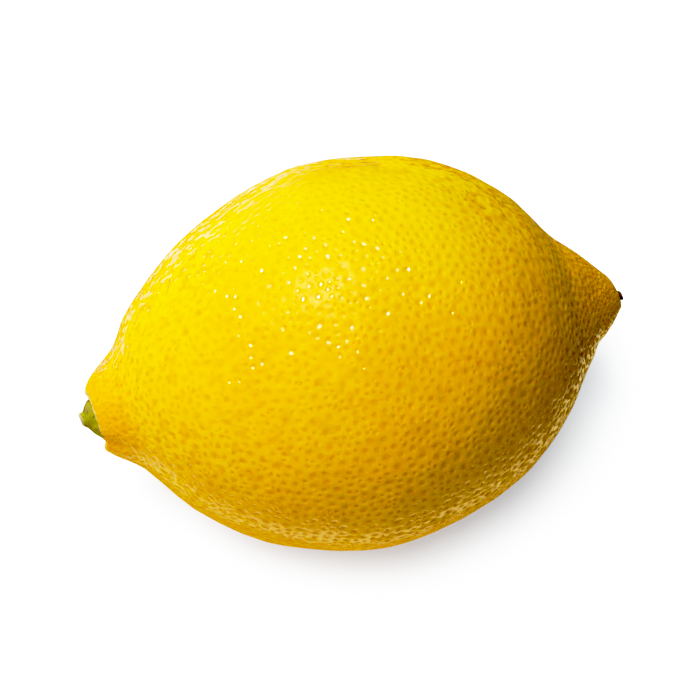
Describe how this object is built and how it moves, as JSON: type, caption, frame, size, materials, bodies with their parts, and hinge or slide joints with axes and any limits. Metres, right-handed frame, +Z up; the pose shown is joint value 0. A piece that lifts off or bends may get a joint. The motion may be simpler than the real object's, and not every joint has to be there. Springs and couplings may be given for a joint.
{
  "type": "whole lemon",
  "caption": "Whole ripe lemon lying on its side: spindle body with dimpled peel, lobed collar with a green calyx button, and a nipple with the dried style.",
  "frame": {"origin": "middle of the small flat spot on the underside that the fruit rests on", "axes": "+X along the fruit from the calyx button towards the nipple, +Z up from the surface it lies on, +Y to the side by the right-hand rule"},
  "size_m": [0.0861, 0.06, 0.0595],
  "materials": {
    "peel": "waxy yellow lemon peel, semi-gloss, finely pitted",
    "calyx": "dull yellow-green plant tissue with a pale tan scar",
    "dried_style": "dry dark-brown plant tissue, matte"
  },
  "bodies": {
    "root": {"fruit": "peel", "calyx_button": "calyx", "style_stub": "dried_style"}
  },
  "joints": []
}
